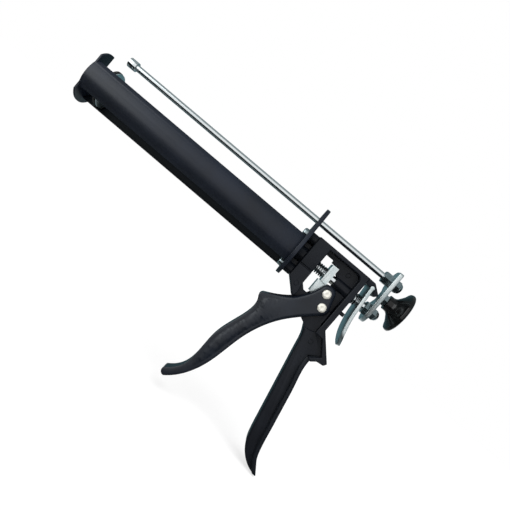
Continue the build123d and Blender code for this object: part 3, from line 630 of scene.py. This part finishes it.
def spring_tree():
    """Coil spring along X with closed end turns, wound from the given place."""
    tree, inputs = start_tree("coil_spring", "Length", "Coil radius", "Wire radius", "Turns")
    line = add(tree, "GeometryNodeCurvePrimitiveLine", {"End": (1, 0, 0)})
    count = work_out(tree, "MULTIPLY", inputs["Turns"], SPRING_STEPS)
    path = add(tree, "GeometryNodeResampleCurve", links={"Curve": line.outputs[0], "Count": count})
    share = add(tree, "GeometryNodeSplineParameter").outputs["Factor"]
    turn = work_out(tree, "MULTIPLY", work_out(tree, "MULTIPLY", share, inputs["Turns"]), 2 * pi)
    # The first and the last turn rise by the wire's thickness, and the turns between share the rest.
    wire_d = work_out(tree, "MULTIPLY", inputs["Wire radius"], 2.0)
    span = work_out(tree, "SUBTRACT", inputs["Length"], wire_d)
    closed = work_out(tree, "DIVIDE", 1.0, inputs["Turns"])
    until = work_out(tree, "SUBTRACT", 1.0, closed)
    open_span = work_out(tree, "SUBTRACT", span, work_out(tree, "MULTIPLY", wire_d, 2.0))
    first = add(tree, "ShaderNodeMapRange", links={"Value": share, "From Max": closed, "To Max": wire_d})
    middle = add(tree, "ShaderNodeMapRange",
                 links={"Value": share, "From Min": closed, "From Max": until, "To Max": open_span})
    last = add(tree, "ShaderNodeMapRange", links={"Value": share, "From Min": until, "To Max": wire_d})
    rise = work_out(tree, "ADD", first.outputs[0], middle.outputs[0])
    rise = work_out(tree, "ADD", rise, last.outputs[0])
    spot = add(tree, "ShaderNodeCombineXYZ", links={
        "X": work_out(tree, "ADD", rise, inputs["Wire radius"]),
        "Y": work_out(tree, "MULTIPLY", inputs["Coil radius"], work_out(tree, "COSINE", turn)),
        "Z": work_out(tree, "MULTIPLY", inputs["Coil radius"], work_out(tree, "SINE", turn))})
    wound = add(tree, "GeometryNodeSetPosition",
                links={"Geometry": path.outputs[0], "Position": spot.outputs[0]})
    section = add(tree, "GeometryNodeCurvePrimitiveCircle", {"Resolution": WIRE_POINTS},
                  {"Radius": inputs["Wire radius"]})
    wire = add(tree, "GeometryNodeCurveToMesh", {"Fill Caps": True},
               {"Curve": wound.outputs[0], "Profile Curve": section.outputs[0]})
    return end_tree(tree, inputs, wire.outputs[0], ROUND_CREASE)


def mark_tree():
    """Thin raised rings that a casting die leaves, facing across the gun."""
    tree, inputs = start_tree("casting_mark", "Ring radius", "Line width")
    ring = add(tree, "GeometryNodeCurvePrimitiveCircle", {"Resolution": CASTING_MARK_POINTS},
               {"Radius": inputs["Ring radius"]})
    section = add(tree, "GeometryNodeCurvePrimitiveCircle", {"Resolution": CASTING_LINE_POINTS},
                  {"Radius": work_out(tree, "MULTIPLY", inputs["Line width"], 0.5)})
    line = add(tree, "GeometryNodeCurveToMesh",
               links={"Curve": ring.outputs[0], "Profile Curve": section.outputs[0]})
    upright = add(tree, "GeometryNodeTransform", {"Rotation": (radians(90), 0, 0)},
                  {"Geometry": line.outputs[0]})
    return end_tree(tree, inputs, upright.outputs[0], ROUND_CREASE)


def grow(tree, places, slot, **sizes):
    """Plain mesh that a tree makes at its places, with sizes in millimetres and turns as numbers."""
    mesh = bpy.data.meshes.new(tree.name)
    mesh.from_pydata([tuple(place) for place in places], [], [])
    seed = put_in_scene(tree.name, mesh)
    modifier = seed.modifiers.new(tree.name, "NODES")
    modifier.node_group = tree
    keys = {item.name: item.identifier for item in tree.interface.items_tree if item.in_out == "INPUT"}
    for name, value in sizes.items():
        label = name.replace("_", " ").capitalize()
        modifier[keys[label]] = float(value) if label == "Turns" else value * MM
    modifier[keys["Finish"]] = materials[slot]
    view = bpy.context.evaluated_depsgraph_get()
    made = bpy.data.meshes.new_from_object(seed.evaluated_get(view))
    bpy.data.objects.remove(seed)
    bpy.data.meshes.remove(mesh)
    return made


def box_of(node):
    """Middle and size of a CAD node's box."""
    low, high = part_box(node)
    return (Vector(low) + Vector(high)) / 2, Vector(high) - Vector(low)


def make_nuts():
    """Plain nuts on the rods and the knob's stud."""
    tree = nut_tree()
    for node in ("plunger_nut", "second_rod_front_nut", "main_rod_front_nut", "knob_nut"):
        middle, size = box_of(node)
        mesh = grow(tree, [middle], slots[node], across_flats=size.z / MM, thickness=size.x / MM,
                    chamfer=NUT_CHAMFER)
        place_piece(node + "_finish", mesh, "rod_set", slots[node], [node])


def make_dome_nuts():
    """Closed nuts on the rear ends of both rods."""
    tree = dome_nut_tree()
    for node in ("second_rod_dome_nut", "main_rod_rear_nut"):
        middle, size = box_of(node)
        dome = size.x * DOME_SHARE
        start = middle - Vector((dome / 2, 0, 0))
        mesh = grow(tree, [start], slots[node], across_flats=size.z / MM, thickness=(size.x - dome) / MM,
                    chamfer=NUT_CHAMFER, dome_height=dome / MM)
        place_piece(node + "_finish", mesh, "rod_set", slots[node], [node])


def make_rivets():
    """Pivot pin and drive pin of the trigger with their rolled heads."""
    tree = rivet_tree()
    for node, (radius, half) in RIVET_BARREL.items():
        middle, size = box_of(node)
        head_r = min(size.x, size.z) / 2
        if node == "drive_pin":
            head_r = min(head_r, DRIVE_PIN_HEAD_R * MM)
        mesh = grow(tree, [middle], slots[node], head_radius=head_r / MM, head_height=RIVET_HEAD_H,
                    head_seat=size.y / 2 / MM - RIVET_HEAD_H, barrel_radius=radius, barrel_half=half)
        place_piece(node + "_finish", mesh, "trigger_lever", slots[node], [node])


def make_springs():
    """Drive spring and release spring, each in place of its CAD node."""
    tree = spring_tree()
    for node, turns in SPRING_TURNS.items():
        low, high = (Vector(corner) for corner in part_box(node))
        wire_r = SPRING_WIRE_R[node]
        coil_r = (high.z - low.z) / 2 / MM - wire_r
        length = (high.x - low.x) / MM
        start = Vector((low.x, 0, 0))
        mesh = grow(tree, [start], slots[node], length=length, coil_radius=coil_r, wire_radius=wire_r,
                    turns=turns)
        spring = place_piece(node + "_finish", mesh, "frame", slots[node], [node])
        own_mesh(spring)


def make_casting_marks():
    """Ejector rings on the panel, the handle's top and the front block, on both faces."""
    spots = [Vector((x, side * y, z)) * MM for x, y, z in CASTING_MARKS for side in (-1, 1)]
    mesh = grow(mark_tree(), spots, "black_die_cast", ring_radius=CASTING_MARK_R,
                line_width=CASTING_MARK_LINE)
    marks = put_in_scene("casting_marks", mesh)
    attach(marks, "frame")


make_nuts()
make_dome_nuts()
make_rivets()
make_springs()
make_casting_marks()


def empty_tree(block):
    """Node tree of a new material or world, with nothing in it."""
    block.use_nodes = True
    block.node_tree.nodes.clear()
    return block.node_tree


def background_mix(tree, surface, lit):
    """White towards the camera, in mirrors and through glass, and a lit shader for every other ray."""
    path = add(tree, "ShaderNodeLightPath")
    seen = add(tree, "ShaderNodeMath", operation="MAXIMUM",
               links={0: path.outputs["Is Camera Ray"], 1: path.outputs["Is Glossy Ray"]})
    seen = add(tree, "ShaderNodeMath", operation="MAXIMUM",
               links={0: seen.outputs[0], 1: path.outputs["Is Transmission Ray"]})
    mix = add(tree, "ShaderNodeMixShader", links={0: seen.outputs[0], 1: lit, 2: surface})
    return mix.outputs[0]


def make_world():
    """Plain white surround with a softer level for the light that falls on the gun."""
    world = bpy.data.worlds.new("studio")
    tree = empty_tree(world)
    white = add(tree, "ShaderNodeBackground", {"Color": (1, 1, 1, 1), "Strength": 1.0})
    ambient = add(tree, "ShaderNodeBackground", {"Color": (1, 1, 1, 1), "Strength": AMBIENT})
    result = background_mix(tree, white.outputs[0], ambient.outputs[0])
    add(tree, "ShaderNodeOutputWorld", links={"Surface": result})
    bpy.context.scene.world = world


def make_floor():
    """Wide pale floor just under the handle's tip, which keeps a faint shadow."""
    half = FLOOR_HALF
    level = cad_low.z - FLOOR_GAP * MM
    mesh = bpy.data.meshes.new("floor")
    corners = [(-half, -half, level), (half, -half, level), (half, half, level), (-half, half, level)]
    mesh.from_pydata(corners, [], [(0, 1, 2, 3)])
    floor = put_in_scene("floor", mesh)
    material = bpy.data.materials.new("white_paper")
    tree = empty_tree(material)
    paper = add(tree, "ShaderNodeBsdfDiffuse", {"Color": colour("#f4f4f4")})
    shaded = add(tree, "ShaderNodeBsdfDiffuse", {"Color": colour("#a0a0a0")})
    glow = add(tree, "ShaderNodeEmission", {"Color": (1, 1, 1, 1), "Strength": FLOOR_GLOW})
    partly = add(tree, "ShaderNodeAddShader", links={0: shaded.outputs[0], 1: glow.outputs[0]})
    result = background_mix(tree, partly.outputs[0], paper.outputs[0])
    add(tree, "ShaderNodeOutputMaterial", links={"Surface": result})
    mesh.materials.append(material)
    # Reflections show the studio cards instead of the floor.
    floor.visible_glossy = False


def make_cards():
    """Studio cards that only reflections see: white in front, grey above and behind, dark below."""
    near, middle, behind, far = -1.5, -0.25, 0.5, 1.8
    side, left, bright, right = 2.4, -0.95, 0.12, 0.75
    ground, low_edge, top = -0.55, -0.25, 1.8
    # Two opposite corners, shade and strength
    cards = {
        "front_card": ((left, near, ground), (right, near, top), "#ffffff", 1.0),
        "front_left_card": ((-side, near, ground), (left, near, top), "#f4f8f9", 2.8),
        "front_right_card": ((right, near, ground), (side, near, top), "#6d7477", 1.0),
        "left_card": ((-side, near, ground), (-side, middle, top), "#f4f8f9", 2.8),
        "right_card": ((side, near, ground), (side, middle, top), "#6d7477", 1.0),
        "top_card": ((-side, near, top), (side, far, top), "#98a0a2", 1.0),
        "back_card": ((-side, far, low_edge), (side, far, top), "#55737a", 1.0),
        "back_low_card": ((-side, far, ground), (bright, far, low_edge), "#55737a", 1.0),
        "back_low_bright_card": ((bright, far, ground), (side, far, low_edge), "#d8dcdd", 1.0),
        "back_left_card": ((-side, middle, ground), (-side, far, top), "#2c3a3d", 1.0),
        "back_right_card": ((side, middle, ground), (side, far, top), "#55737a", 1.0),
        "near_floor_card": ((-side, near, ground), (side, middle, ground), "#14191b", 1.0),
        "mid_floor_card": ((-side, middle, ground), (side, behind, ground), "#737c7e", 1.0),
        "far_floor_card": ((-side, behind, ground), (bright, far, ground), "#55737a", 1.0),
        "far_floor_bright_card": ((bright, behind, ground), (side, far, ground), "#d8dcdd", 1.0),
    }
    for name, (low, high, shade, strength) in cards.items():
        mesh = bpy.data.meshes.new(name)
        corners = [low, (high[0], low[1], low[2]), high, (low[0], high[1], high[2])]
        if low[0] == high[0]:
            corners = [low, (low[0], high[1], low[2]), high, (low[0], low[1], high[2])]
        mesh.from_pydata(corners, [], [(0, 1, 2, 3)])
        card = put_in_scene(name, mesh)
        material = bpy.data.materials.new(name)
        tree = empty_tree(material)
        glow = add(tree, "ShaderNodeEmission", {"Color": colour(shade), "Strength": strength})
        add(tree, "ShaderNodeOutputMaterial", links={"Surface": glow.outputs[0]})
        mesh.materials.append(material)
        card.visible_camera = False
        card.visible_diffuse = False
        card.visible_shadow = False


def make_lamp(name, kind, place, power):
    """Lamp aimed at the gun from a place."""
    lamp = bpy.data.lights.new(name, kind)
    lamp.energy = power
    light = put_in_scene(name, lamp)
    light.location = place
    light.rotation_mode = "QUATERNION"
    light.rotation_quaternion = (CAMERA_TARGET - light.location).to_track_quat("-Z", "Y")
    # Reflections show the studio cards, not the lamp itself.
    light.visible_glossy = False
    return lamp


def make_lamps():
    """Broad key light from above and in front, and a soft square fill from the left."""
    key = make_lamp("key_light", "SUN", KEY_PLACE, KEY_POWER)
    key.angle = radians(KEY_SPREAD)
    fill = make_lamp("fill_light", "AREA", FILL_PLACE, FILL_POWER)
    fill.shape = "SQUARE"
    fill.size = FILL_SIZE


def make_camera():
    """Camera at the photo's angle, rolled so that the barrel slopes."""
    yaw, lift, roll = (radians(angle) for angle in (CAMERA_YAW, CAMERA_LIFT, CAMERA_ROLL))
    back = Vector((sin(yaw) * cos(lift), -cos(yaw) * cos(lift), sin(lift)))
    level = Vector((0, 0, 1)).cross(back).normalized()
    upright = back.cross(level)
    right = cos(roll) * level + sin(roll) * upright
    up = cos(roll) * upright - sin(roll) * level
    data = bpy.data.cameras.new("camera")
    data.lens = CAMERA_FOCAL * data.sensor_width
    data.clip_start = CAMERA_NEAR
    data.clip_end = CAMERA_FAR
    camera = put_in_scene("camera", data)
    turn = Matrix((right, up, back)).transposed()
    camera.matrix_world = Matrix.Translation(CAMERA_TARGET + back * CAMERA_DISTANCE) @ turn.to_4x4()
    bpy.context.scene.camera = camera


make_world()
make_floor()
make_cards()
make_lamps()
make_camera()
bpy.context.scene.view_settings.view_transform = "Standard"
